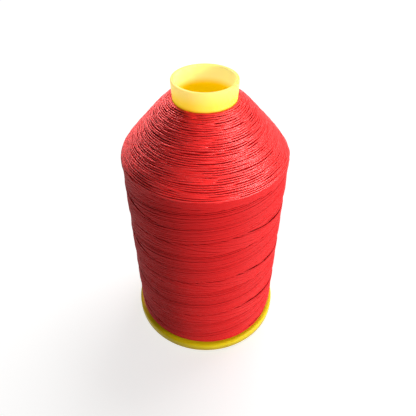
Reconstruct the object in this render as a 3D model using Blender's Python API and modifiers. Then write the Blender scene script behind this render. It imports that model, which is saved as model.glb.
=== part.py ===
"""Cone of heavy sewing thread, wound on a one-piece moulded plastic core.

The core is a straight tube with a round base flange. It stands on the flange's flat underside,
and its bore is open from end to end, for the spindle of a thread stand. The winding is one solid:
a nearly straight body, a domed shoulder that runs up to the collar, the main creases between the
bands of thread, and the grooves between the groups of strands on the shoulder.
All lengths are in metres, +Z is up, and the origin is the middle of the underside.
"""

import math

import bpy

# Core
FLANGE_RADIUS = 0.0425
FLANGE_THICKNESS = 0.0056
FLANGE_EDGE_ROUND = 0.0013
UNDERSIDE_CHAMFER = 0.0005
HEIGHT = 0.1515
RIM_RADIUS = 0.0151
RIM_ROUND = 0.0007
COLLAR_FLARE_HEIGHT = 0.012
TUBE_TOP_RADIUS = 0.0147
TUBE_BOTTOM_RADIUS = 0.0152
BORE_TOP_RADIUS = 0.0133
BORE_BOTTOM_RADIUS = 0.0137
BORE_CHAMFER = 0.0010

# Winding
GAP = 0.0003
BODY_TOP_RADIUS = 0.0414
BODY_BOTTOM_RADIUS = 0.0409
TUCK_DEPTH = 0.0006
TUCK_HEIGHT = 0.0070
SHOULDER_HEIGHT = 0.1147
NECK_RADIUS = 0.01615
NECK_HEIGHT = 0.1430
NECK_DROP = 0.0004
DOME_LOW = 0.00100
DOME_HIGH = 0.00175
DOME_FLATNESS = 5
BODY_ROWS = 38
SHOULDER_ROWS = 24

# Relief of the winding. A crease climbs CREASE_LEAD in each turn round the cone.
CREASE_LEAD = 0.0280
CREASE_HALF_WIDTH = 0.0034
# height where it crosses +X, hand (1 climbs to the right as seen from outside, -1 to the left), depth
CREASES = (
    (0.0125, 1, 0.00050),
    (0.0225, 1, 0.00030),
    (0.0040, -1, 0.00030),
)
GROOVE_PITCH = 0.0046
GROOVE_DEPTH = 0.00028
RELIEF_FADE = 0.0040

TURN_STEPS = 60
ARC_STEPS = 3
MERGE_DISTANCE = 0.00001

THREAD_RED = (0.62, 0.022, 0.020)
CORE_YELLOW = (0.90, 0.66, 0.060)


def clear_scene():
    for item in list(bpy.data.objects):
        bpy.data.objects.remove(item, do_unlink=True)


def plain_material(name, colour, roughness, metallic=0.0):
    material = bpy.data.materials.new(name)
    material.use_nodes = True
    surface = material.node_tree.nodes["Principled BSDF"]
    surface.inputs["Base Color"].default_value = (*colour, 1.0)
    surface.inputs["Roughness"].default_value = roughness
    surface.inputs["Metallic"].default_value = metallic
    return material


def arc(centre, radius, start_deg, end_deg):
    """Points of a round edge in the (radius, height) plane, from start_deg to end_deg."""
    points = []
    for step in range(ARC_STEPS + 1):
        angle = math.radians(start_deg + (end_deg - start_deg) * step / ARC_STEPS)
        points.append((centre[0] + radius * math.cos(angle), centre[1] + radius * math.sin(angle)))
    return points


def turned(name, profile, material, collection):
    """A closed (radius, height) outline turned about Z. The outline runs down its outer side."""
    mesh = bpy.data.meshes.new(name)
    edges = [(i, (i + 1) % len(profile)) for i in range(len(profile))]
    mesh.from_pydata([(radius, 0.0, height) for radius, height in profile], edges, [])
    mesh.materials.append(material)
    item = bpy.data.objects.new(name, mesh)
    collection.objects.link(item)
    screw = item.modifiers.new("Turn", "SCREW")
    screw.axis = "Z"
    screw.angle = math.radians(360.0)
    screw.steps = TURN_STEPS
    screw.render_steps = TURN_STEPS
    screw.use_merge_vertices = True
    screw.merge_threshold = MERGE_DISTANCE
    screw.use_smooth_shade = True
    return item


def tube_radius(height):
    """Outer radius of the core's tube: a slight draft, then a flare into the collar's rim."""
    flare_start = HEIGHT - COLLAR_FLARE_HEIGHT
    if height <= flare_start:
        share = (height - FLANGE_THICKNESS) / (flare_start - FLANGE_THICKNESS)
        return TUBE_BOTTOM_RADIUS + (TUBE_TOP_RADIUS - TUBE_BOTTOM_RADIUS) * share
    share = (height - flare_start) / (COLLAR_FLARE_HEIGHT - RIM_ROUND)
    return TUBE_TOP_RADIUS + (RIM_RADIUS - TUBE_TOP_RADIUS) * min(share, 1.0)


def core_profile():
    flare_start = HEIGHT - COLLAR_FLARE_HEIGHT
    flange_edge = (FLANGE_RADIUS - FLANGE_EDGE_ROUND, FLANGE_THICKNESS - FLANGE_EDGE_ROUND)
    outline = arc((RIM_RADIUS - RIM_ROUND, HEIGHT - RIM_ROUND), RIM_ROUND, 90, 0)
    outline.append((TUBE_TOP_RADIUS, flare_start))
    outline.append((TUBE_BOTTOM_RADIUS, FLANGE_THICKNESS))
    outline += arc(flange_edge, FLANGE_EDGE_ROUND, 90, 0)
    outline.append((FLANGE_RADIUS, UNDERSIDE_CHAMFER))
    outline.append((FLANGE_RADIUS - UNDERSIDE_CHAMFER, 0.0))
    outline.append((BORE_BOTTOM_RADIUS + BORE_CHAMFER, 0.0))
    outline.append((BORE_BOTTOM_RADIUS, BORE_CHAMFER))
    outline += arc((BORE_TOP_RADIUS + RIM_ROUND, HEIGHT - RIM_ROUND), RIM_ROUND, 180, 90)
    return outline


def shoulder_point(share):
    """A point of the domed shoulder. share runs from 0 at its lower edge to 1 at the neck."""
    run = NECK_RADIUS - BODY_TOP_RADIUS
    rise = NECK_HEIGHT - SHOULDER_HEIGHT
    slant = math.hypot(run, rise)
    fullness = 1.0 - abs(2.0 * share - 1.0) ** DOME_FLATNESS
    dome = (DOME_LOW + (DOME_HIGH - DOME_LOW) * share) * fullness
    radius = BODY_TOP_RADIUS + run * share + dome * rise / slant
    height = SHOULDER_HEIGHT + rise * share - dome * run / slant
    return radius, height


def body_radius(height):
    """The body widens a little upwards and is drawn in where it meets the flange."""
    foot = FLANGE_THICKNESS + GAP
    share = (height - foot) / (SHOULDER_HEIGHT - foot)
    tuck = max(0.0, 1.0 - (height - foot) / TUCK_HEIGHT) ** 2
    return BODY_BOTTOM_RADIUS + (BODY_TOP_RADIUS - BODY_BOTTOM_RADIUS) * share - TUCK_DEPTH * tuck


def winding_profile():
    foot = FLANGE_THICKNESS + GAP
    inner_top = NECK_HEIGHT - NECK_DROP
    flare_start = HEIGHT - COLLAR_FLARE_HEIGHT
    outline = [(tube_radius(inner_top) + GAP, inner_top)]
    for row in range(SHOULDER_ROWS):
        outline.append(shoulder_point(1.0 - row / SHOULDER_ROWS))
    for row in range(BODY_ROWS + 1):
        height = SHOULDER_HEIGHT + (foot - SHOULDER_HEIGHT) * row / BODY_ROWS
        outline.append((body_radius(height), height))
    outline.append((TUBE_BOTTOM_RADIUS + GAP, foot))
    outline.append((TUBE_TOP_RADIUS + GAP, flare_start))
    return outline


def crease_depth(angle, height):
    """How far the body's surface sinks at the helical creases between bands of thread."""
    depth = 0.0
    for start, hand, deepest in CREASES:
        line = start + hand * CREASE_LEAD * angle / math.tau
        off = (height - line) % CREASE_LEAD
        off = min(off, CREASE_LEAD - off)
        depth += deepest * max(0.0, 1.0 - off / CREASE_HALF_WIDTH) ** 1.5
    return depth


def groove_depth(angle, height):
    """How far the shoulder's surface sinks between its groups of strands, which climb one by one."""
    slope = math.hypot(NECK_RADIUS - BODY_TOP_RADIUS, NECK_HEIGHT - SHOULDER_HEIGHT)
    slant = (height - SHOULDER_HEIGHT) * slope / (NECK_HEIGHT - SHOULDER_HEIGHT)
    phase = slant / GROOVE_PITCH - angle / math.tau
    return GROOVE_DEPTH * (0.5 - 0.5 * math.cos(math.tau * phase))


def fade(height, low, high):
    """0 at the two heights and 1 between them, so that the relief runs out at the edges."""
    return max(0.0, min(1.0, (height - low) / RELIEF_FADE, (high - height) / RELIEF_FADE))


def press_relief(item):
    """Keeps the turned shape as a mesh and sinks its outer side at the creases and grooves."""
    evaluated = item.evaluated_get(bpy.context.evaluated_depsgraph_get())
    mesh = bpy.data.meshes.new_from_object(evaluated)
    item.modifiers.clear()
    item.data = mesh
    foot = FLANGE_THICKNESS + GAP
    for vertex in mesh.vertices:
        x, y, height = vertex.co
        radius = math.hypot(x, y)
        if radius < NECK_RADIUS:
            continue
        angle = math.atan2(y, x)
        if height > SHOULDER_HEIGHT:
            depth = groove_depth(angle, height) * fade(height, SHOULDER_HEIGHT, NECK_HEIGHT)
        else:
            depth = crease_depth(angle, height) * fade(height, foot, SHOULDER_HEIGHT)
        scale = (radius - depth) / radius
        vertex.co = (x * scale, y * scale, height)


def build():
    clear_scene()
    collection = bpy.data.collections.new("cone_of_thread")
    bpy.context.scene.collection.children.link(collection)
    thread = plain_material("thread", THREAD_RED, 0.62)
    plastic = plain_material("core_plastic", CORE_YELLOW, 0.38)
    turned("core", core_profile(), plastic, collection)
    winding = turned("winding", winding_profile(), thread, collection)
    bpy.context.view_layer.update()
    press_relief(winding)


build()
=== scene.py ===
# %% [markdown]
# # A cone of sewing thread
# The object is heavy bonded thread wound on a one-piece plastic core. This lesson builds what the
# eye sees: every turn of thread on the outside as a real strand, the moulded core, their finishes,
# and a studio table to stand them on. The sizes come from the CAD model, which is loaded first and
# never moved.

# %% Load the CAD model
import math

import bpy
import numpy as np
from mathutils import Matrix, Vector


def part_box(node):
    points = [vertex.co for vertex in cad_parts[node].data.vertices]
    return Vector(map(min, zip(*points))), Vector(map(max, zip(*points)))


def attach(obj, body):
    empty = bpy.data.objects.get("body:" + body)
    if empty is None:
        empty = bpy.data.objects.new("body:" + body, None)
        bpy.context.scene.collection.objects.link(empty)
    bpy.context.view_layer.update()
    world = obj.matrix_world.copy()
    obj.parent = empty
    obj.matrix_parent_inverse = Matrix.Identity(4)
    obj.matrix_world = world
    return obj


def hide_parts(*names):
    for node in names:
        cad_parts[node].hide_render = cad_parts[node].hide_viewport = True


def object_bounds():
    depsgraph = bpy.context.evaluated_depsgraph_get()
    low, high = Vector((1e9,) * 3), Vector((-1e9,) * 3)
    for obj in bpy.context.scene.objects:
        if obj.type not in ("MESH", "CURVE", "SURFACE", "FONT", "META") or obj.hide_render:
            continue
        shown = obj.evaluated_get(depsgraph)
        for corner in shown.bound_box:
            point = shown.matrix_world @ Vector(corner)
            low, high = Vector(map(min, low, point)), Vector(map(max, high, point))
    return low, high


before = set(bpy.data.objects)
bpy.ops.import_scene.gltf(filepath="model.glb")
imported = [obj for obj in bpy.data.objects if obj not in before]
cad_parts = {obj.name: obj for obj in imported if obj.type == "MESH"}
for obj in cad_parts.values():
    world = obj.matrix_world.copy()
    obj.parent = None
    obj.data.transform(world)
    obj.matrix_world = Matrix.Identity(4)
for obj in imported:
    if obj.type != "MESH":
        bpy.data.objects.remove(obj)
cad_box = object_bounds()
MM = 0.001
rng = np.random.default_rng(7)
print("CAD box", [tuple(round(v, 4) for v in corner) for corner in cad_box])

# %% [markdown]
# ## The camera
# The cone is seen from above at about 41 degrees, from close by, so that it narrows strongly
# towards its base. A long lens further off would flatten that. The lens and the place were found by
# matching how wide the rim, the shoulder and the base look, and the whole view is turned half a
# degree to the right of the cone's axis.

# %% Set up the camera
CAMERA_HEIGHT = 0.2369
CAMERA_DISTANCE = 0.1828
CAMERA_PITCH = math.radians(41.45)
CAMERA_YAW = math.radians(-0.43)
LENS_MM = 38.2
SENSOR_MM = 36.0

camera_data = bpy.data.cameras.new("camera")
camera_data.lens = LENS_MM
camera_data.sensor_width = SENSOR_MM
camera_data.clip_start = 0.01
camera = bpy.data.objects.new("camera", camera_data)
bpy.context.scene.collection.objects.link(camera)
camera.location = (0.0, -CAMERA_DISTANCE, CAMERA_HEIGHT)
camera.rotation_euler = (math.radians(90.0) - CAMERA_PITCH, 0.0, CAMERA_YAW)
bpy.context.scene.camera = camera
print("camera at", tuple(round(v, 4) for v in camera.location))

# %% [markdown]
# ## Reading the wound form from the CAD solid
# The winding's solid has rings of points, one above the other. The widest point of each ring gives
# the outline of the wound form. A strand is then placed by two numbers: its angle round the axis,
# and its distance along that outline, measured up from the foot. This keeps every strand on the
# form, whatever its shape, and it is how a winding machine lays thread: round and along. Rings that
# lie wholly against the tube are left out, except the topmost one, which ends the outline.

# %% Measure the wound form
OUTLINE_STEP = 0.1 * MM
CORNER_SOFTNESS = 9
TUBE_SIDE_RADIUS = 15.8 * MM


def rings_of(node):
    """(radius, height) of the widest part of each ring of a CAD solid, bottom to top."""
    points = np.array([v.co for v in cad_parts[node].data.vertices], float)
    radii = np.hypot(points[:, 0], points[:, 1])
    heights = np.round(points[:, 2], 5)
    return np.array([(radii[heights == h].max(), h) for h in np.unique(heights)])


def softened(values, count):
    """A running mean that keeps both ends where they are."""
    pad = count // 2
    before = 2 * values[0] - values[pad:0:-1]
    after = 2 * values[-1] - values[-2:-pad - 2:-1]
    padded = np.concatenate([before, values, after])
    return np.convolve(padded, np.ones(count) / count, "valid")


rings = rings_of("winding")
by_the_tube = rings[:, 0] < TUBE_SIDE_RADIUS
rings = np.concatenate([rings[~by_the_tube], rings[by_the_tube][-1:]])
ring_places = np.concatenate([[0.0], np.cumsum(np.hypot(*np.diff(rings, axis=0).T))])
form_place = np.arange(0.0, ring_places[-1], OUTLINE_STEP)
form_radius = softened(np.interp(form_place, ring_places, rings[:, 0]), CORNER_SOFTNESS)
form_height = softened(np.interp(form_place, ring_places, rings[:, 1]), CORNER_SOFTNESS)
slope_r = np.gradient(form_radius, form_place)
slope_z = np.gradient(form_height, form_place)
slope = np.hypot(slope_r, slope_z)
form_out_r = slope_z / slope
form_out_z = -slope_r / slope
edge_place = form_place[np.argmax(form_radius)]
neck_place = form_place[-1]
print("foot to shoulder edge", round(edge_place / MM, 1), "mm, edge to neck",
      round((neck_place - edge_place) / MM, 1), "mm")


# %% [markdown]
# ## A strand of thread
# A strand could be a curve with a bevel, but about a hundred metres of thread are easier to steer as
# arrays of numbers, and quicker to build. Each strand is a closed tube with an oval section, because
# tension presses round thread flat against the turns below. The tube's UV map holds the length
# along the thread in millimetres and the way round it, which the twist of the plies needs later.
# Each strand also carries a number of its own, its tone, so that no two look quite alike. Flat caps
# close both ends of each tube.

# %% Strand builder
SIDES = 8


def on_form(angle, place, lift):
    """Points at an angle round the axis, a place along the outline and a lift off the surface."""
    out_r = np.interp(place, form_place, form_out_r)
    out_z = np.interp(place, form_place, form_out_z)
    radius = np.interp(place, form_place, form_radius) + out_r * lift
    height = np.interp(place, form_place, form_height) + out_z * lift
    points = np.stack([radius * np.cos(angle), radius * np.sin(angle), height], 1)
    outward = np.stack([out_r * np.cos(angle), out_r * np.sin(angle), out_z], 1)
    return points, outward


def unit(vectors):
    return vectors / np.linalg.norm(vectors, axis=1, keepdims=True)


def strand_tube(angle, place, lift, half_width, half_height):
    """One tube: its points, ring by ring, and the length of thread up to each ring."""
    points, outward = on_form(angle, place, lift)
    along = unit(np.gradient(points, axis=0))
    side = unit(np.cross(along, outward))
    up = np.cross(side, along)
    turn = np.arange(SIDES) * (2 * math.pi / SIDES)
    across = np.cos(turn)[None, :, None] * side[:, None, :] * half_width
    across = across + np.sin(turn)[None, :, None] * up[:, None, :] * half_height
    tube = (points[:, None, :] + across).reshape(-1, 3)
    steps = np.linalg.norm(np.diff(points, axis=0), axis=1)
    return tube, np.concatenate([[0.0], np.cumsum(steps)])


def tube_faces(count):
    """Quads between the rings of a tube, as point numbers, and the ring and side of each corner."""
    ring, side = np.meshgrid(np.arange(count - 1), np.arange(SIDES), indexing="ij")
    ring, side = ring.ravel(), side.ravel()
    after = (side + 1) % SIDES
    quads = np.stack([ring * SIDES + side, (ring + 1) * SIDES + side,
                      (ring + 1) * SIDES + after, ring * SIDES + after], 1)
    rings_used = np.stack([ring, ring + 1, ring + 1, ring], 1)
    sides_used = np.stack([side, side, side + 1, side + 1], 1)
    return quads, rings_used, sides_used


def thread_piece(name, strands, half_width, half_height):
    """Joins many strands, each (angle, place, lift), into one mesh object."""
    points, corners, starts, uvs, tones = [], [], [], [], []
    first_point = first_corner = 0
    for angle, place, lift in strands:
        tube, lengths = strand_tube(angle, place, lift, half_width, half_height)
        quads, rings_used, sides_used = tube_faces(len(angle))
        count = len(tube)
        caps = np.stack([np.arange(SIDES), np.arange(count - 1, count - SIDES - 1, -1)])
        corners += [quads.ravel() + first_point, caps.ravel() + first_point]
        starts.append(first_corner + np.arange(0, quads.size, 4))
        starts.append(first_corner + quads.size + np.array([0, SIDES]))
        uv = np.stack([lengths[rings_used] / MM, sides_used / SIDES], -1).reshape(-1, 2)
        uvs += [uv, np.zeros((2 * SIDES, 2))]
        tones.append(np.full(count, rng.random()))
        points.append(tube)
        first_point += count
        first_corner += quads.size + 2 * SIDES
    points, corners, starts = map(np.concatenate, (points, corners, starts))
    mesh = bpy.data.meshes.new(name)
    mesh.vertices.add(len(points))
    mesh.vertices.foreach_set("co", points.ravel())
    mesh.loops.add(len(corners))
    mesh.loops.foreach_set("vertex_index", corners.astype(np.int32))
    mesh.polygons.add(len(starts))
    mesh.polygons.foreach_set("loop_start", starts.astype(np.int32))
    mesh.polygons.foreach_set("use_smooth", np.ones(len(starts), bool))
    mesh.update(calc_edges=True)
    mesh.uv_layers.new(name="thread_run").data.foreach_set("uv", np.concatenate(uvs).ravel())
    tone = mesh.attributes.new("strand_tone", "FLOAT", "POINT")
    tone.data.foreach_set("value", np.concatenate(tones))
    mesh.validate()
    piece = bpy.data.objects.new(name, mesh)
    bpy.context.scene.collection.objects.link(piece)
    mesh.calc_loop_triangles()
    print(name, len(strands), "strands,", len(mesh.loop_triangles), "triangles")
    return piece


# %% [markdown]
# ## Soft unevenness
# Real thread never lies perfectly even. The tension of the machine, and the turns underneath, push
# it about a little, and neighbours move together. A few slow waves added up, each with its own
# direction, give that. Whole numbers of waves round the cone make them close on themselves. On top
# of this, each strand wanders a little on its own, which opens and closes lens-shaped gaps.

# %% Waves and wandering
def wave_field(count, around, along):
    """A smooth random field over (angle, place), between about -1 and 1."""
    waves = [(rng.integers(1, around + 1), rng.uniform(-1, 1) * along, rng.uniform(0, 2 * math.pi))
             for _ in range(count)]

    def field(angle, place):
        total = sum(np.sin(n * angle + 2 * math.pi * place / MM * k + p) for n, k, p in waves)
        return total / math.sqrt(count)
    return field


def wandering(count, reach):
    """A smooth random curve along one strand, about 1 high, that turns about every reach points."""
    window = np.hanning(reach + 2)
    rough = rng.normal(0, 1, count + len(window))
    return np.convolve(rough, window / np.sqrt((window ** 2).sum()), "same")[:count]


body_drift = wave_field(count=6, around=4, along=0.05)
body_swell = wave_field(count=6, around=5, along=0.07)
shoulder_drift = wave_field(count=7, around=6, along=0.12)
print("three fields of slow waves")

# %% [markdown]
# ## The body: thread laid up and down
# The winder lays the thread in an open helix up the body, turns round at the shoulder's edge, comes
# down, turns at the flange, and starts again a thread's width further round. The last layer
# therefore holds two families of strands, one climbing to the right and one to the left. Where the
# newest strand lies beside the oldest there is a small step: the long slanting creases that show on
# the finished cone. The same rule builds them here. Each strand has an age, a newer strand lies
# higher than an older one, and where the two families cross, the older dips under the newer. The
# climbing family is favoured a little, so more of it shows. One pass up and down takes 315 / 37
# turns, so that 37 passes start spread all round the cone. A few strands lie looser than the rest,
# some of them beside the creases, with thin dark gaps between them. Two small steps in height part
# the layer into bands.

# %% Body strands
LEAD = 28.0 * MM
STRANDS = 37
TURNS_ONE_WAY = 315 / (2 * STRANDS)
BODY_RINGS = 64
TURN_ROUND = (TURNS_ONE_WAY * LEAD - edge_place) / 2
CREASE_FRONT_PLACE = edge_place - 52.7 * MM
FRONT = math.radians(-82.5)
FIRST_ANGLE = FRONT - 2 * math.pi * (CREASE_FRONT_PLACE + TURN_ROUND) / LEAD
BODY_HALF_WIDTH = 0.42 * MM
BODY_HALF_HEIGHT = 0.26 * MM
AGE_STEP = 0.23 * MM
UNDER_DEPTH = 0.50 * MM
UP_FAVOUR = 0.35
SWITCH = 0.10
# Each: the age below which the strands lie lower, and by how much.
BAND_STEPS = ((0.36, 0.10 * MM), (0.66, 0.06 * MM))
# Each: first strand, the one after the last, and how much wider apart they lie.
LOOSE_STRANDS = ((0, 2, 0.40), (35, 37, 0.36), (11, 13, 0.40), (15, 16, 0.30), (23, 25, 0.32))
BODY_SWELL = 0.07 * MM
BODY_DRIFT = 0.16 * MM
HEIGHT_NOISE = 0.02 * MM
PLACE_NOISE = 0.06 * MM
BODY_WANDER_REACH = 12

spacing = np.ones(STRANDS)
for first, last, extra in LOOSE_STRANDS:
    spacing[first:last] += extra
start_turn = np.concatenate([[0.0], np.cumsum(spacing)])[:-1] / spacing.sum()


def turned_round(nominal):
    """Bends the straight helix into its turn-rounds at the foot and at the shoulder's edge."""
    low = TURN_ROUND * ((nominal / TURN_ROUND + 1) / 2) ** 2
    high = edge_place - TURN_ROUND * (((edge_place - nominal) / TURN_ROUND + 1) / 2) ** 2
    place = np.where(nominal < TURN_ROUND, low, nominal)
    return np.where(nominal > edge_place - TURN_ROUND, high, place)


def smooth_step(value):
    value = np.clip(value, 0.0, 1.0)
    return value * value * (3 - 2 * value)


def body_strand(number, way):
    """Strand of the last layer that goes up (way 1) or down (way -1) the body."""
    start = FIRST_ANGLE + 2 * math.pi * start_turn[number]
    sweep = np.linspace(0.0, TURNS_ONE_WAY, int(TURNS_ONE_WAY * BODY_RINGS) + 1)
    if way > 0:
        angle = start + 2 * math.pi * sweep
        nominal = -TURN_ROUND + LEAD * sweep
        other = (angle - FIRST_ANGLE) / (2 * math.pi) - TURNS_ONE_WAY
        other = other - (edge_place + TURN_ROUND - nominal) / LEAD
    else:
        angle = start + 2 * math.pi * (TURNS_ONE_WAY + sweep)
        nominal = edge_place + TURN_ROUND - LEAD * sweep
        other = (angle - FIRST_ANGLE) / (2 * math.pi) - (nominal + TURN_ROUND) / LEAD
    age = number / STRANDS
    newer_by = age - other % 1.0 + UP_FAVOUR * way
    on_top = smooth_step(newer_by / SWITCH + 0.5)
    lift = AGE_STEP * (age - 1.0) + UNDER_DEPTH * (on_top - 1.0) - BODY_HALF_HEIGHT
    for phase, step in BAND_STEPS:
        lift = lift - (step if age < phase else 0.0)
    place = turned_round(nominal)
    lift = lift + body_swell(angle, place) * BODY_SWELL + rng.normal(0, HEIGHT_NOISE)
    lift = lift + wandering(len(angle), BODY_WANDER_REACH) * HEIGHT_NOISE
    place = place + body_drift(angle, place) * BODY_DRIFT + rng.normal(0, PLACE_NOISE)
    place = place + wandering(len(angle), BODY_WANDER_REACH) * PLACE_NOISE
    return angle, place, lift


climbing = thread_piece("body_turns_climbing", [body_strand(i, 1) for i in range(STRANDS)],
                        BODY_HALF_WIDTH, BODY_HALF_HEIGHT)
falling = thread_piece("body_turns_falling", [body_strand(i, -1) for i in range(STRANDS)],
                       BODY_HALF_WIDTH, BODY_HALF_HEIGHT)

# %% [markdown]
# ## The shoulder: the ends of the layers
# Each layer of the winding stops one thread short of the layer below, so the shoulder shows one
# near-level turn for each layer, about a millimetre apart. They gather a little in groups of about
# four. One long spiral makes them, a slow wave shifts neighbouring turns together, and each turn
# also wanders on its own. A second spiral lies 0.6 mm deeper and half a pitch further up, with
# painted shade in its darker red, and a matte surface. It fills the grooves with thread, so that no
# bare bed shows.

# %% Shoulder turns
SHOULDER_PITCH = 0.99 * MM
SHOULDER_HALF_WIDTH = 0.365 * MM
SHOULDER_HALF_HEIGHT = 0.42 * MM
GROUP_TURNS = 4.3
GATHER = 0.05 * SHOULDER_PITCH
GROUP_BEND = 1.3
SHOULDER_DRIFT = 0.12 * MM
QUICK_REACH = 7
SLOW_REACH = 22
QUICK_WANDER = 0.045 * MM
SLOW_WANDER = 0.055 * MM
HEIGHT_WANDER = 0.06 * MM
UNDER_SPIRAL_DEPTH = 0.60 * MM
TOP_RINGS = 128
UNDER_RINGS = 72


def spiral(first_place, last_place, rings, lift):
    """A near-level spiral up the shoulder, its turns gathered in groups."""
    turns = (last_place - first_place) / SHOULDER_PITCH
    sweep = np.linspace(0.0, turns, int(turns * rings) + 1)
    count = len(sweep)
    angle = 2 * math.pi * sweep
    place = first_place + SHOULDER_PITCH * sweep
    common = shoulder_drift(angle, place)
    group = 2 * math.pi * (sweep / GROUP_TURNS) + GROUP_BEND * common
    place = place + GATHER * np.sin(group) + SHOULDER_DRIFT * common
    place = place + wandering(count, QUICK_REACH) * QUICK_WANDER
    place = place + wandering(count, SLOW_REACH) * SLOW_WANDER
    high = lift + wandering(count, QUICK_REACH) * HEIGHT_WANDER
    return angle, np.minimum(place, neck_place), high


top_lift = -SHOULDER_HALF_HEIGHT
shoulder_top = spiral(edge_place - 0.2 * MM, neck_place + 1.05 * MM, TOP_RINGS, top_lift)
shoulder_low = spiral(edge_place + 0.3 * MM, neck_place - 0.4 * MM, UNDER_RINGS,
                      top_lift - UNDER_SPIRAL_DEPTH)
shoulder = thread_piece("shoulder_turns", [shoulder_top], SHOULDER_HALF_WIDTH, SHOULDER_HALF_HEIGHT)
under = thread_piece("shoulder_under_turns", [shoulder_low], SHOULDER_HALF_WIDTH, SHOULDER_HALF_HEIGHT)

# %% [markdown]
# ## Strands that cross
# Each layer's end is really made of many passes of the thread, which climb, turn level and climb
# down again. So a strand rides up over its neighbours at a very small angle and dips under again a
# centimetre or two later, which leaves long lens shapes. They are short arcs, raised in the middle
# and sunk at both ends, most of them a single strand and some a pair. The golden angle spreads them
# round the shoulder, so that they never line up.

# %% Crossing strands
CROSSINGS = 230
GOLDEN = math.radians(137.5)
ARC_REACH = (8, 24)
ARC_SLANT = 2.0 * MM
ARC_HEIGHT = (0.08, 0.22)
ARC_SAG = 0.3 * MM
ARC_DIP = 0.85 * MM
ARC_STEP = math.radians(3.4)
PAIR_SHARE = 0.25
PAIR_GAP = 0.88 * MM
LOWEST_SHARE = 0.01
SHARE_SPAN = 0.96
TURN_JITTER = 0.3
LENGTH_SPREAD = (0.8, 1.1)
END_JITTER = 0.08
NECK_MARGIN = 0.3 * MM


def crossing_arcs(number):
    """One or two parallel arcs that ride over the turns of the shoulder."""
    share = (number + 0.5) / CROSSINGS
    middle = edge_place + (neck_place - edge_place) * (LOWEST_SHARE + SHARE_SPAN * share)
    turn = number * GOLDEN + rng.uniform(-TURN_JITTER, TURN_JITTER)
    reach = math.radians(rng.uniform(*ARC_REACH))
    slant = rng.uniform(-1.0, 1.0) * reach * ARC_SLANT
    height = rng.uniform(*ARC_HEIGHT) * MM
    arcs = []
    for strand in range(1 + int(rng.random() < PAIR_SHARE)):
        sweep = np.linspace(-1.0, 1.0, int(2 * reach / ARC_STEP) + 2)
        angle = turn + sweep * reach * rng.uniform(*LENGTH_SPREAD)
        angle = angle + rng.uniform(-END_JITTER, END_JITTER)
        place = middle + strand * PAIR_GAP + slant * sweep - reach * ARC_SAG * sweep ** 2
        place = place + SHOULDER_DRIFT * shoulder_drift(angle, place)
        lift = top_lift + height - ARC_DIP * np.abs(sweep) ** 2.5
        arcs.append((angle, np.minimum(place, neck_place - NECK_MARGIN), lift))
    return arcs


crossings = [arc for number in range(CROSSINGS) for arc in crossing_arcs(number)]
crossing = thread_piece("shoulder_crossings", crossings, SHOULDER_HALF_WIDTH, SHOULDER_HALF_HEIGHT)

# %% [markdown]
# ## The bed of the winding
# Under the strands lies a plain turned body, so that nothing shows through between them. It is a
# closed outline turned about the axis with a Screw modifier, 1.15 mm smaller than the wound form.
# On its inner side it follows the core's tube, so it also closes the ring between the topmost turns
# and the collar.

# %% Turned pieces
TURN_STEPS = 144
MERGE_DISTANCE = 0.01 * MM
ON_THE_SEAM = 0.001 * MM


def turned_piece(name, outline, steps=TURN_STEPS):
    """A closed (radius, height) outline, running down its outer side, turned about the axis."""
    mesh = bpy.data.meshes.new(name)
    edges = [(i, (i + 1) % len(outline)) for i in range(len(outline))]
    mesh.from_pydata([(r, 0.0, h) for r, h in outline], edges, [])
    piece = bpy.data.objects.new(name, mesh)
    bpy.context.scene.collection.objects.link(piece)
    screw = piece.modifiers.new("Turn", "SCREW")
    screw.axis = "Z"
    screw.steps = screw.render_steps = steps
    screw.use_merge_vertices = True
    screw.merge_threshold = MERGE_DISTANCE
    screw.use_smooth_shade = True
    print(name, "outline of", len(outline), "points")
    return piece


def outline_of(node):
    """The closed (radius, height) outline of a turned CAD solid, in order along its points."""
    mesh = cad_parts[node].data
    key = {}
    for vertex in mesh.vertices:
        if abs(vertex.co.y) < ON_THE_SEAM and vertex.co.x > 0:
            key[vertex.index] = (round(vertex.co.x, 6), round(vertex.co.z, 6))
    joined = {}
    for edge in mesh.edges:
        a, b = (key.get(v) for v in edge.vertices)
        if a and b and a != b:
            joined.setdefault(a, set()).add(b)
            joined.setdefault(b, set()).add(a)
    outline = [max(joined, key=lambda point: (point[1], point[0]))]
    after = max(joined[outline[0]])
    while after != outline[0]:
        outline.append(after)
        after = next((p for p in joined[after] if p not in outline), outline[0])
    return outline


BED_DEPTH = 1.15 * MM
BED_COUNT = 70
TUBE_TOP = (15.12 * MM, 141.2 * MM)
TUBE_FOOT = (15.52 * MM, 6.1 * MM)
bed_places = np.linspace(neck_place, 0.0, BED_COUNT)
bed_points, _ = on_form(np.zeros(BED_COUNT), bed_places, -BED_DEPTH)
bed_points = bed_points[bed_points[:, 0] > TUBE_TOP[0]]
bed_side = [(p[0], max(p[2], TUBE_FOOT[1])) for p in bed_points]
bed = turned_piece("winding_bed", [TUBE_TOP] + bed_side + [TUBE_FOOT])

# %% [markdown]
# ## The core
# The core is one injection moulding. Its outline is read back from the CAD solid, point by point,
# and its corners are cut twice to round them, which is how a moulded edge looks: never sharp, and
# never the same crisp bevel all over. The collar flares a little on its way up, until its rim is
# 0.3 mm wider and higher than the solid's. Then the outline is turned with far more steps than the
# CAD solid has, so that the rim looks truly round.

# %% Core moulding
def eased(outline, reach, times):
    """Cuts each corner of a closed outline, at most reach away from it, as often as times says."""
    for _ in range(times):
        cut = []
        for i, here in enumerate(outline):
            for other in (outline[i - 1], outline[(i + 1) % len(outline)]):
                gap = math.dist(here, other)
                share = min(0.25, reach / gap)
                cut.append(tuple(h + (o - h) * share for h, o in zip(here, other)))
        outline = cut
        reach *= 0.5
    return outline


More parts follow.
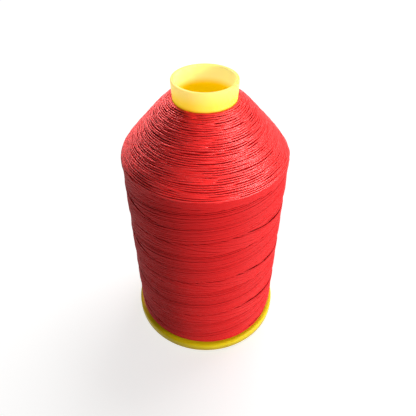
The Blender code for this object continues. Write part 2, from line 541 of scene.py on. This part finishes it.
RIM_LIFT = 0.3 * MM
RIM_SPREAD = 0.3 * MM
COLLAR_START = 139.5 * MM
CORNER_CUT = 0.25 * MM
CORE_STEPS = 180
rim_height = cad_box[1].z


def opened_out(point):
    """The collar flares a little on its way up to the rim."""
    share = max(0.0, (point[1] - COLLAR_START) / (rim_height - COLLAR_START))
    return point[0] + RIM_SPREAD * share, point[1] + RIM_LIFT * share


core_outline = eased([opened_out(point) for point in outline_of("core")], CORNER_CUT, 2)
core = turned_piece("core_moulding", core_outline, CORE_STEPS)

# %% [markdown]
# ## Shader helpers
# Several finishes share the same effects, so each effect is a node group with named inputs and
# outputs, built once. The helpers below make a group, add a node with its values, and join sockets,
# which keeps each recipe short enough to read. Inputs A and B of a colour mix share their names with
# those of its other kinds, so they are picked by number.

# %% Node helpers
MIX_A = 6
MIX_B = 7
MIX_RESULT = 2


def new_group(name, inputs, outputs):
    """An empty node group. inputs are (name, kind, value), outputs are (name, kind)."""
    tree = bpy.data.node_groups.new(name, "ShaderNodeTree")
    for label, kind, value in inputs:
        socket = tree.interface.new_socket(label, in_out="INPUT", socket_type="NodeSocket" + kind)
        if value is not None:
            socket.default_value = value
    for label, kind in outputs:
        tree.interface.new_socket(label, in_out="OUTPUT", socket_type="NodeSocket" + kind)
    return tree, tree.nodes.new("NodeGroupInput"), tree.nodes.new("NodeGroupOutput")


def with_inputs(tree, node, inputs):
    """The same node, with each named input set to a value or joined to a socket."""
    for label, value in inputs.items():
        socket = node.inputs[label]
        if isinstance(value, bpy.types.NodeSocket):
            tree.links.new(value, socket)
        else:
            socket.default_value = value
    return node


def add(tree, kind, inputs=None, **settings):
    """A new node of that kind, with its settings and its inputs."""
    node = tree.nodes.new("ShaderNode" + kind)
    for label, value in settings.items():
        setattr(node, label, value)
    return with_inputs(tree, node, inputs or {})


def math_node(tree, operation, a, b=0.0, clamp=False):
    return add(tree, "Math", {0: a, 1: b}, operation=operation, use_clamp=clamp).outputs[0]


def mixed(tree, factor, a, b):
    """Mixes two colours and gives the socket of the result."""
    node = add(tree, "Mix", {"Factor": factor, MIX_A: a, MIX_B: b}, data_type="RGBA")
    return node.outputs[MIX_RESULT]


def group_node(tree, group, inputs):
    """A node that uses a group, with its inputs set or joined."""
    node = add(tree, "Group", node_tree=group)
    return with_inputs(tree, node, inputs)


# %% [markdown]
# ## Twist of the plies
# Sewing thread is two or three yarns twisted together. The twist shows as fine slanting ridges that
# run round each strand. The way round the strand and the length along it come from the UV map: added
# together they give a slanting wave, which is a ridge where it is high and, where it is low, a dark
# line of painted shade.

# %% Group: twist of the plies
twist_group, given, result = new_group(
    "ply_twist",
    [("Run", "Vector", None), ("Turn length mm", "Float", 2.4), ("Plies", "Float", 3.0)],
    [("Ridge", "Float"), ("Groove", "Float")])
parts = add(twist_group, "SeparateXYZ", {0: given.outputs["Run"]})
along = math_node(twist_group, "DIVIDE", parts.outputs["X"], given.outputs["Turn length mm"])
slant = math_node(twist_group, "ADD", along, parts.outputs["Y"])
phase = math_node(twist_group, "MULTIPLY", slant, given.outputs["Plies"])
half_turn = math_node(twist_group, "MULTIPLY", phase, math.pi)
wave = math_node(twist_group, "ABSOLUTE", math_node(twist_group, "SINE", half_turn))
twist_group.links.new(wave, result.inputs["Ridge"])
dip = math_node(twist_group, "SUBTRACT", 1.0, wave)
groove = math_node(twist_group, "POWER", dip, 2.5)
twist_group.links.new(groove, result.inputs["Groove"])
print("group", twist_group.name)

# %% [markdown]
# ## The sides of a strand
# Where two strands touch, their sides see little light and look deeper in colour. They stay a pure
# red there, because light bounces between red walls before it comes out. The lamps already give
# most of this. A soft mask that is 0 on a strand's crown and 1 on its sides helps to tell one
# strand from the next: the materials use it for a painted shade and a duller surface.

# %% Group: sides of a strand
sides_group, given, result = new_group("strand_sides", [("Run", "Vector", None)], [("Side", "Float")])
parts = add(sides_group, "SeparateXYZ", {0: given.outputs["Run"]})
way_round = math_node(sides_group, "MULTIPLY", parts.outputs["Y"], 2 * math.pi)
crown = math_node(sides_group, "ABSOLUTE", math_node(sides_group, "SINE", way_round))
side = math_node(sides_group, "POWER", math_node(sides_group, "SUBTRACT", 1.0, crown), 0.8)
sides_group.links.new(side, result.inputs["Side"])
print("group", sides_group.name)

# %% [markdown]
# ## Uneven dye
# Dyed thread is slightly uneven: one strand is a touch deeper than the next, and there are longer,
# softer changes along the cone. The strand's own tone gives the first, and a soft noise in the
# object's space gives the second.

# %% Group: uneven dye
dye_group, given, result = new_group(
    "uneven_dye",
    [("Colour", "Color", (1, 1, 1, 1)), ("Deep colour", "Color", (0, 0, 0, 1)),
     ("Tone", "Float", 0.5), ("Strand share", "Float", 0.3), ("Patch share", "Float", 0.3),
     ("Patch size", "Float", 60.0)],
    [("Colour", "Color")])
place_in_space = add(dye_group, "TexCoord").outputs["Object"]
patches = add(dye_group, "TexNoise", {"Vector": place_in_space, "Scale": given.outputs["Patch size"],
                                      "Detail": 4.0, "Roughness": 0.6}).outputs["Fac"]
by_strand = math_node(dye_group, "MULTIPLY", given.outputs["Tone"], given.outputs["Strand share"])
by_patch = math_node(dye_group, "MULTIPLY", patches, given.outputs["Patch share"])
mask = math_node(dye_group, "ADD", by_strand, by_patch, clamp=True)
colour = mixed(dye_group, mask, given.outputs["Colour"], given.outputs["Deep colour"])
dye_group.links.new(colour, result.inputs["Colour"])
print("group", dye_group.name)

# %% [markdown]
# ## Fine grain
# No surface is perfectly even close up: moulded plastic has a faint orange peel, and its colour and
# gloss are a little cloudy. One group gives both, at sizes that its user sets.

# %% Group: fine grain
grain_group, given, result = new_group(
    "fine_grain", [("Size", "Float", 400.0), ("Coarse size", "Float", 60.0)],
    [("Height", "Float"), ("Cloud", "Float")])
place_in_space = add(grain_group, "TexCoord").outputs["Object"]
fine = add(grain_group, "TexNoise", {"Vector": place_in_space, "Scale": given.outputs["Size"],
                                     "Detail": 3.0}).outputs["Fac"]
cloud = add(grain_group, "TexNoise", {"Vector": place_in_space, "Scale": given.outputs["Coarse size"],
                                      "Detail": 2.0}).outputs["Fac"]
grain_group.links.new(fine, result.inputs["Height"])
grain_group.links.new(cloud, result.inputs["Cloud"])
print("group", grain_group.name)


# %% [markdown]
# ## The thread's finish
# Bonded thread is smooth and a little waxy. It is a saturated red with a soft highlight that is
# broken up by the twist. The colour comes from the uneven dye, with painted shade in the grooves
# between the plies and on the strand's sides. The crown is smoother than the sides, so each strand
# draws its own line of light. One recipe makes three threads. The body's strands are pressed
# flatter, so their twist shows less and they shine less. The shoulder's turns stand freer and shine
# more, and their brighter red is painted light. The turns in the grooves are dull, and their darker
# red is painted shade.

# %% Thread materials
RED = (0.57, 0.0105, 0.010, 1.0)
# Painted light: the shoulder's turns get a brighter red than the body's.
SHOULDER_LIT_RED = (1.0, 0.014, 0.011, 1.0)
DEEP_RED = (0.40, 0.004, 0.006, 1.0)
# The next two reds are painted shade, mixed in where strands meet and in the bed below.
DARK_SHADE_RED = (0.13, 0.001, 0.003, 1.0)
GAP_SHADE_RED = (0.60, 0.002, 0.003, 1.0)
# Painted shade: the darker red of the turns that lie in the grooves.
UNDER_SHADE_RED = (0.46, 0.003, 0.004, 1.0)
SHEEN_TINT = (1.0, 0.35, 0.35, 1.0)
SHEEN_ROUGHNESS = 0.4
TWIST_LENGTH_MM = 2.7
PLIES = 3.0
PLY_HEIGHT = 0.08 * MM
DYE_PATCHES = 45.0
BED_PATCHES = 150.0


def thread_material(name, red, shade, unevenness, twist_depth, twist_shade, side_shade, crown_rough,
                    side_rough, shine, sheen=0.0):
    """Bonded thread: uneven dye, plies as ridges, painted shade in grooves and on sides, a soft waxy
    highlight.
    """
    material = bpy.data.materials.new(name)
    material.use_nodes = True
    tree = material.node_tree
    surface = tree.nodes["Principled BSDF"]
    run = add(tree, "UVMap", uv_map="thread_run").outputs["UV"]
    twist = group_node(tree, twist_group, {"Run": run, "Turn length mm": TWIST_LENGTH_MM,
                                           "Plies": PLIES})
    sides = group_node(tree, sides_group, {"Run": run})
    tone = add(tree, "Attribute", attribute_name="strand_tone").outputs["Fac"]
    dye = group_node(tree, dye_group, {"Colour": red, "Deep colour": DEEP_RED, "Tone": tone,
                                       "Strand share": unevenness, "Patch share": unevenness,
                                       "Patch size": DYE_PATCHES})
    # Painted shade in the grooves between the plies.
    by_twist = math_node(tree, "MULTIPLY", twist.outputs["Groove"], twist_shade)
    # Painted shade on the strand's sides, where neighbours touch.
    by_side = math_node(tree, "MULTIPLY", sides.outputs["Side"], side_shade)
    painted_shade = math_node(tree, "ADD", by_twist, by_side, clamp=True)
    colour = mixed(tree, painted_shade, dye.outputs["Colour"], shade)
    bump = add(tree, "Bump", {"Height": twist.outputs["Ridge"], "Strength": twist_depth,
                              "Distance": PLY_HEIGHT})
    tree.links.new(colour, surface.inputs["Base Color"])
    tree.links.new(bump.outputs["Normal"], surface.inputs["Normal"])
    rough = add(tree, "MapRange", {"Value": sides.outputs["Side"], "To Min": crown_rough,
                                   "To Max": side_rough})
    tree.links.new(rough.outputs["Result"], surface.inputs["Roughness"])
    surface.inputs["Specular IOR Level"].default_value = shine
    surface.inputs["Sheen Weight"].default_value = sheen
    surface.inputs["Sheen Roughness"].default_value = SHEEN_ROUGHNESS
    surface.inputs["Sheen Tint"].default_value = SHEEN_TINT
    return material


body_thread = thread_material(
    "body_thread", RED, DARK_SHADE_RED, unevenness=0.30, twist_depth=0.35, twist_shade=0.25,
    side_shade=0.35, crown_rough=0.50, side_rough=0.60, shine=0.10, sheen=0.03)
# The shoulder's brighter red is painted light.
shoulder_thread = thread_material(
    "shoulder_thread", SHOULDER_LIT_RED, GAP_SHADE_RED, unevenness=0.14, twist_depth=0.7, twist_shade=0.16,
    side_shade=0.95, crown_rough=0.34, side_rough=0.85, shine=0.62)
# The turns in the grooves are the same thread, with painted shade in their darker red.
under_thread_shaded = thread_material(
    "under_thread_shaded", UNDER_SHADE_RED, DARK_SHADE_RED, unevenness=0.10, twist_depth=0.7, twist_shade=0.30,
    side_shade=0.60, crown_rough=0.60, side_rough=0.85, shine=0.10)

# Painted shade: the bed is a deep red mottled with a darker one, for thread in shadow under the
# strands.
bed_material = bpy.data.materials.new("bed_thread")
bed_material.use_nodes = True
bed_tree = bed_material.node_tree
bed_shade = group_node(bed_tree, dye_group, {"Colour": DEEP_RED, "Deep colour": DARK_SHADE_RED,
                                           "Patch share": 0.6, "Patch size": BED_PATCHES})
bed_surface = bed_tree.nodes["Principled BSDF"]
bed_tree.links.new(bed_shade.outputs["Colour"], bed_surface.inputs["Base Color"])
bed_surface.inputs["Roughness"].default_value = 0.8
bed_surface.inputs["Specular IOR Level"].default_value = 0.1

finishes = ((climbing, body_thread), (falling, body_thread), (shoulder, shoulder_thread),
            (crossing, shoulder_thread), (under, under_thread_shaded), (bed, bed_material))
for piece, material in finishes:
    piece.data.materials.append(material)
print("thread materials on", len(finishes), "pieces")

# %% [markdown]
# ## The core's plastic
# The core is a translucent yellow plastic. Light enters the collar on one side of its thin wall and
# leaves it on the other, so the collar glows pale, most of all near its rim, while the part of the
# bore that is backed by thread looks amber. In the base colour, the paler yellows of the open collar
# are painted light, and the amber is painted shade. Subsurface spreads the light under the skin, but
# it can't carry enough of it through the wall, so a weak glow in the plastic's own colours stands in
# for the rest: painted light, on the collar, in the bore and faintly on the flange. The colours change
# at the top of the winding, over about 2 mm outside and twice as much in the bore. The flange is a
# deeper yellow, with painted shade that makes it deeper still towards its foot.

# %% Core material
YELLOW = (0.42, 0.31, 0.003, 1.0)
# Painted shade: a darker yellow towards the flange's foot.
SHADED_FOOT_YELLOW = (0.20, 0.135, 0.002, 1.0)
# Painted light: the paler yellows of the open collar, outside and in.
LIT_COLLAR_YELLOW = (0.66, 0.35, 0.080, 1.0)
LIT_INNER_YELLOW = (0.64, 0.50, 0.12, 1.0)
# Painted shade in the bore behind the thread, and also the tint of the plastic's clouds.
AMBER = (0.86, 0.62, 0.003, 1.0)
# The glows below are painted light: the plastic glows, though it is no lamp.
COLLAR_GLOW = (1.0, 0.83, 0.02, 1.0)
RIM_GLOW = (1.0, 0.97, 0.28, 1.0)
INNER_GLOW = (0.85, 0.95, 0.36, 1.0)
AMBER_GLOW = (0.43, 0.31, 0.001, 1.0)
FLANGE_GLOW = (0.15, 0.12, 0.0, 1.0)
AMBER_REACH = 2.0 * MM
RIM_GLOW_REACH = 6.0 * MM
COLOUR_CHANGE = (-1.4 * MM, 0.8 * MM)
FOOT_SHADE = (0.5 * MM, 4.0 * MM)
BORE_SIDE_RADIUS = 14.0 * MM
winding_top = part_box("winding")[1].z

core_material = bpy.data.materials.new("core_plastic_satin")
core_material.use_nodes = True
tree = core_material.node_tree
surface = tree.nodes["Principled BSDF"]
where = add(tree, "SeparateXYZ", {0: add(tree, "TexCoord").outputs["Object"]}).outputs
across = math_node(tree, "ADD", math_node(tree, "MULTIPLY", where["X"], where["X"]),
                   math_node(tree, "MULTIPLY", where["Y"], where["Y"]))
in_bore = math_node(tree, "LESS_THAN", math_node(tree, "SQRT", across), BORE_SIDE_RADIUS)
above_thread = math_node(tree, "SUBTRACT", where["Z"], winding_top)
amber_top = math_node(tree, "MULTIPLY", in_bore, AMBER_REACH)
above_amber = math_node(tree, "SUBTRACT", above_thread, amber_top)
softer = math_node(tree, "DIVIDE", above_amber, math_node(tree, "ADD", in_bore, 1.0))
in_the_open = add(tree, "MapRange", {"Value": softer, "From Min": COLOUR_CHANGE[0],
                                     "From Max": COLOUR_CHANGE[1]},
                  interpolation_type="SMOOTHSTEP").outputs["Result"]
grain = group_node(tree, grain_group, {"Size": 900.0, "Coarse size": 90.0})
# Painted shade: the flange darkens towards its foot.
foot_shade = add(tree, "MapRange", {"Value": where["Z"], "From Min": FOOT_SHADE[0],
                                    "From Max": FOOT_SHADE[1], "To Min": 1.0,
                                    "To Max": 0.0}).outputs["Result"]
# Painted shade: amber where thread backs the bore.
backed = mixed(tree, in_bore, mixed(tree, foot_shade, YELLOW, SHADED_FOOT_YELLOW), AMBER)
# Painted light: paler yellows where the collar is open to light.
open_to_light = mixed(tree, in_bore, LIT_COLLAR_YELLOW, LIT_INNER_YELLOW)
lit = mixed(tree, in_the_open, backed, open_to_light)
clouds = math_node(tree, "MULTIPLY", grain.outputs["Cloud"], 0.10)
plastic = mixed(tree, clouds, lit, AMBER)
tree.links.new(plastic, surface.inputs["Base Color"])
# Painted light: the glow, strongest near the rim, weak on the flange and amber in the backed bore.
near_rim = add(tree, "MapRange", {"Value": where["Z"], "From Min": rim_height - RIM_GLOW_REACH,
                                  "From Max": rim_height}).outputs["Result"]
outer_glow = mixed(tree, near_rim, COLLAR_GLOW, RIM_GLOW)
open_glow = mixed(tree, in_bore, outer_glow, INNER_GLOW)
backed_glow = mixed(tree, in_bore, FLANGE_GLOW, AMBER_GLOW)
glow = mixed(tree, in_the_open, backed_glow, open_glow)
tree.links.new(glow, surface.inputs["Emission Color"])
surface.inputs["Emission Strength"].default_value = 0.52
rough = add(tree, "MapRange", {"Value": grain.outputs["Cloud"], "To Min": 0.30, "To Max": 0.42})
tree.links.new(rough.outputs["Result"], surface.inputs["Roughness"])
bump = add(tree, "Bump", {"Height": grain.outputs["Height"], "Strength": 0.12,
                          "Distance": 0.05 * MM})
tree.links.new(bump.outputs["Normal"], surface.inputs["Normal"])
surface.inputs["Specular IOR Level"].default_value = 0.08
surface.inputs["Subsurface Weight"].default_value = 0.6
surface.inputs["Subsurface Radius"].default_value = (1.0, 0.75, 0.12)
surface.inputs["Subsurface Scale"].default_value = 4.0 * MM
core.data.materials.append(core_material)
print("core material", core_material.name)

# %% [markdown]
# ## The table
# The cone stands on a plain, almost white table that runs out of sight. A product photographer
# lights such a table so strongly that it nearly burns out, which leaves only a faint, soft shadow.
# A pale surface with light of its own gives that, and sends the same soft light up to the cone.

# %% Floor
FLOOR_SIZE = 6.0
FLOOR_GREY = (0.51, 0.51, 0.51, 1.0)
FLOOR_GLOW = (1.0, 1.0, 0.985, 1.0)
bpy.ops.mesh.primitive_plane_add(size=FLOOR_SIZE, location=(0.0, 0.0, 0.0))
floor = bpy.context.active_object
floor.name = "floor"
floor_material = bpy.data.materials.new("floor_pale")
floor_material.use_nodes = True
tree = floor_material.node_tree
surface = tree.nodes["Principled BSDF"]
surface.inputs["Base Color"].default_value = FLOOR_GREY
surface.inputs["Roughness"].default_value = 0.9
surface.inputs["Specular IOR Level"].default_value = 0.0
surface.inputs["Emission Color"].default_value = FLOOR_GLOW
surface.inputs["Emission Strength"].default_value = 0.745
floor.data.materials.append(floor_material)
print("floor", FLOOR_SIZE, "m wide")

# %% [markdown]
# ## Light
# The main light is a soft panel low on the right, a little in front of the cone. It brightens the
# right side and leaves the left in shade. A larger, higher panel at the back right lights the
# shoulder and lays the one soft shadow, towards the lower left. A third lamp at the back left gives
# the left edge a thin line of light. It is split in two. One half lights the surfaces but makes no
# highlights, which would look grey on red thread. The other makes only highlights, in red, as light
# does that has already bounced from turn to turn. The key and both halves of the rim lamp are kept
# off the table, as a photographer does with flags, so that only one shadow shows. The dim
# surroundings and the bright table fill in the rest. Azimuth 0 is in front of the cone and 90 is on
# its right; distances and sizes are in metres and powers in watts.

# %% Lights
AIM_HEIGHT = 80.0 * MM


def panel(name, azimuth, elevation, distance, size, power, colour=(1.0, 1.0, 1.0)):
    """A square soft lamp aimed at the middle of the cone."""
    data = bpy.data.lights.new(name, "AREA")
    data.shape = "SQUARE"
    data.size = size
    data.energy = power
    data.color = colour
    lamp = bpy.data.objects.new(name, data)
    bpy.context.scene.collection.objects.link(lamp)
    turn, rise = math.radians(azimuth), math.radians(elevation)
    level = math.cos(rise)
    away = Vector((math.sin(turn) * level, -math.cos(turn) * level, math.sin(rise)))
    aim = Vector((0.0, 0.0, AIM_HEIGHT))
    lamp.location = aim + away * distance
    lamp.rotation_euler = (-away).to_track_quat("-Z", "Y").to_euler()
    print(name, "at", tuple(round(v, 2) for v in lamp.location))
    return lamp


RED_GLINT = (1.0, 0.20, 0.20)
DIM_SURROUNDINGS = (0.10, 0.10, 0.11, 1.0)
WHITE = (1.0, 1.0, 1.0, 1.0)

key_panel = panel("key_panel", azimuth=62, elevation=13, distance=1.5, size=0.50, power=39.0)
panel("back_panel", azimuth=144, elevation=55, distance=1.5, size=0.90, power=16.0)
rim_panel = panel("rim_panel", azimuth=-162, elevation=40, distance=1.3, size=0.40, power=6.5)
rim_panel.visible_glossy = False
rim_glint = panel("rim_glint", azimuth=-162, elevation=40, distance=1.3, size=0.40, power=56.0,
                  colour=RED_GLINT)
rim_glint.visible_diffuse = False

flagged = bpy.data.collections.new("flagged")
flagged.objects.link(floor)
flagged.collection_objects[0].light_linking.link_state = "EXCLUDE"
for lamp in (key_panel, rim_panel, rim_glint):
    lamp.light_linking.receiver_collection = flagged

world = bpy.data.worlds.new("world")
bpy.context.scene.world = world
world.use_nodes = True
tree = world.node_tree
background = tree.nodes["Background"]
seen = add(tree, "LightPath").outputs["Is Camera Ray"]
surroundings = mixed(tree, seen, DIM_SURROUNDINGS, WHITE)
tree.links.new(surroundings, background.inputs["Color"])
bpy.context.scene.view_settings.view_transform = "Standard"

# %% [markdown]
# ## Put the pieces on the frame
# Every piece rides on the one body of the CAD model. The CAD winding and core are hidden, and
# the thread pieces and the moulding show in their place.

# %% Ride, and hide the CAD parts
for piece in (climbing, falling, shoulder, under, crossing, bed):
    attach(piece, "root")
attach(core, "root")
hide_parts("winding")
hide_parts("core")
